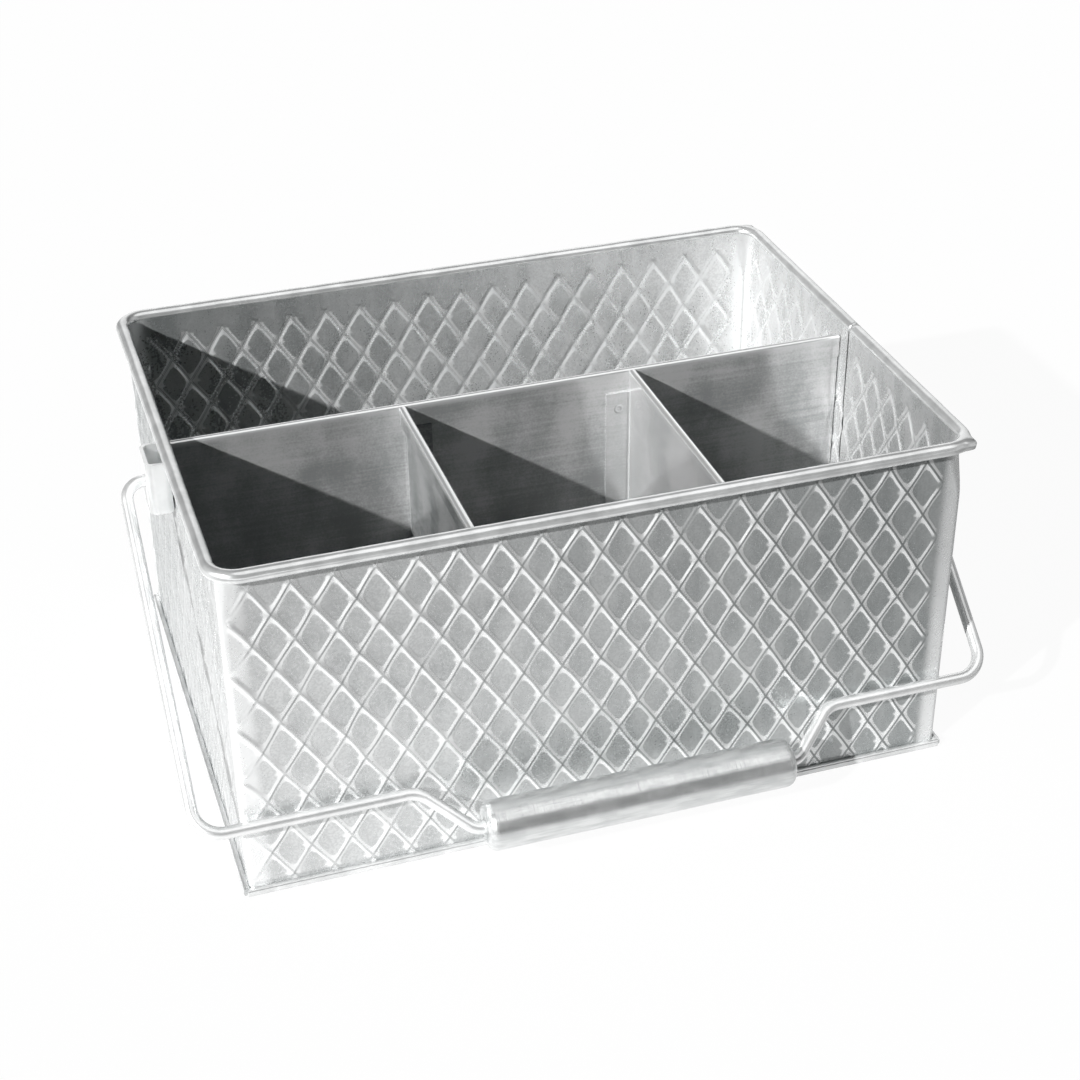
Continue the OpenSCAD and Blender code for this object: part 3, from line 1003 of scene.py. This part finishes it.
def studio_floor():
    """A wide pale floor that keeps the caddy's shadow. In the metal it has pools of light, front and left."""
    mesh = bpy.data.meshes.new("floor")
    corners = [(x * STUDIO_HALF, y * STUDIO_HALF, 0) for x, y in ((-1, -1), (1, -1), (1, 1), (-1, 1))]
    mesh.from_pydata(corners, [], [(0, 1, 2, 3)])
    floor = bpy.data.objects.new("floor", mesh)
    bpy.context.collection.objects.link(floor)
    material, f = finish_named("pale_floor")
    by_camera, by_mirror = f.seen_by()
    x, y, _ = f.parts(f.place())
    left = x.between(0.30, -0.16)
    near = y.between(-0.30, -0.11)
    foot = y.between(-0.13, -0.10)
    far_right = x.between(0.25, 0.7)
    far_left = x.between(-0.16, -0.28)
    in_front = y.between(-0.33, -0.45) * x.between(0.03, -0.09)
    lit = 0.1 + near * (0.12 + 0.65 * left) + 0.15 * left + 0.14 * foot
    lit = lit + 0.3 * far_right - 0.7 * far_left + 1.3 * in_front
    pool = f.blend(lit.between(0.0, 1.0), (0.03, 0.031, 0.031), WHITE)
    glow = f.node("ShaderNodeEmission", None, {"Color": f.blend(by_camera, pool, WHITE)})[0]
    diffuse = f.node("ShaderNodeBsdfDiffuse", None, {"Color": (0.9, 0.9, 0.9, 1.0)})[0]
    seen = by_camera + by_mirror
    mixed = f.node("ShaderNodeMixShader", None, (seen * 0.96, diffuse, glow))[0]
    f.node("ShaderNodeOutputMaterial", None, {"Surface": mixed})
    mesh.materials.append(material)


def studio_world():
    """White to the camera. In the metal it is a dark room with four soft boxes, and dark to all else."""
    world = bpy.data.worlds.new("studio")
    bpy.context.scene.world = world
    f = Finish(world)
    by_camera, by_mirror = f.seen_by()
    way = f.node("ShaderNodeTexCoord")[0]
    bright = 0.0
    for towards, edge, full, strength in SOFT_BOXES:
        vectors = (way, Vector(towards).normalized())
        facing = f.node("ShaderNodeVectorMath", {"operation": "DOT_PRODUCT"}, vectors)[1]
        bright = facing.between(edge, full) * strength + bright
    boxes = f.blend(bright.between(0.0, 1.0), (0.03, 0.03, 0.03), WHITE)
    panels = f.node("ShaderNodeBackground", None, {"Color": boxes})[0]
    room = f.node("ShaderNodeBackground", None, {"Color": (0.02, 0.021, 0.021, 1.0)})[0]
    back = f.node("ShaderNodeBackground", None, {"Color": (*WHITE, 1.0)})[0]
    unseen = f.node("ShaderNodeMixShader", None, (by_mirror, room, panels))[0]
    mixed = f.node("ShaderNodeMixShader", None, (by_camera, unseen, back))[0]
    f.node("ShaderNodeOutputWorld", None, {"Surface": mixed})


def studio_sun():
    """The hard light from the front left that throws the shadows inside."""
    data = bpy.data.lights.new("key", "SUN")
    data.energy = SUN_POWER
    data.angle = SUN_ANGLE
    sun = bpy.data.objects.new("key", data)
    bpy.context.collection.objects.link(sun)
    sun.location = SUN_FROM
    sun.rotation_euler = (-SUN_FROM).to_track_quat("-Z", "Y").to_euler()


def studio_camera():
    """The photograph's viewpoint."""
    data = bpy.data.cameras.new("camera")
    data.lens = CAMERA_LENS
    data.sensor_width = CAMERA_SENSOR
    camera = bpy.data.objects.new("camera", data)
    bpy.context.collection.objects.link(camera)
    camera.location = CAMERA_AT
    turn = Matrix.Rotation(CAMERA_HEADING, 4, "Z") @ Matrix.Rotation(CAMERA_TILT, 4, "X")
    camera.rotation_euler = (turn @ Matrix.Rotation(CAMERA_ROLL, 4, "Z")).to_euler()
    bpy.context.scene.camera = camera


# Outside: painted light brightens the sheet towards the front left and painted shade darkens it to the right;
# its crest colour is a painted dark line along the ribs
outer = rolled_sheet(
    "rolled_sheet",
    dull=(0.36, 0.38, 0.38),
    bright=(0.77, 0.78, 0.78),
    crest=(0.18, 0.19, 0.19),
    metal=0.6,
    drift=(1.0, 0.04, -0.22),
)
# Inside: painted light brightens the sheet towards the right and back and painted shade darkens the left and
# front; its crest colour is a painted highlight in the grooves
inner = rolled_sheet(
    "inner_sheet",
    dull=(0.32, 0.34, 0.34),
    bright=(0.98, 0.985, 0.985),
    crest=(0.95, 0.96, 0.96),
    metal=0.58,
    drift=(0.9, -0.05, 0.17),
)
plain = brushed_sheet("brushed_sheet", (0.57, 0.585, 0.585), (0.99, 0.99, 0.99))
# Shaded and lit copies of the brushed sheet: painted shade for the left cross divider, painted light for the
# right one
shaded_plain = brushed_sheet("shaded_brushed_sheet", (0.3, 0.32, 0.32), (0.72, 0.73, 0.73))
lit_plain = brushed_sheet("lit_brushed_sheet", (0.74, 0.75, 0.75), (0.99, 0.99, 0.99))
drawn = drawn_tube()
wire = bright_wire("bright_wire", (0.86, 0.87, 0.87), (0.96, 0.965, 0.965), 0.18)
bead = bright_wire("polished_fold", (0.74, 0.75, 0.75), (0.92, 0.93, 0.93), 0.13)

wall_mesh = joined("walls", finished(embossed_walls(), outer, inner), finished(rolled_rim(), bead))
new_piece("embossed_wall", wall_mesh, "tray", "embossed_sheet", "wall_wrapper")
base_mesh = joined("base", finished(base_floor(), shaded_floor()), finished(folded_hem(), bead))
new_piece("folded_base", base_mesh, "tray", "plain_sheet", "base_pan")
new_piece("weld_marks", finished(weld_marks(), plain), "tray", "plain_sheet")
new_piece("bail", finished(bail(), wire), "handle", "wire", "bail_wire")
new_piece("grip", finished(grip(), drawn), "grip", "grip", "grip_tube")

dress("rim_wire", wire)
dress("long_divider", plain, SHEET_EDGE)
# The cross dividers take the painted-shade and painted-light copies of the sheet
dress("left_cross_divider", shaded_plain, SHEET_EDGE)
dress("right_cross_divider", lit_plain, SHEET_EDGE)
dress("left_bracket", wire, STRAP_EDGE)
dress("right_bracket", wire, STRAP_EDGE)

studio_floor()
studio_world()
studio_camera()
studio_sun()
bpy.context.scene.view_settings.view_transform = "Standard"
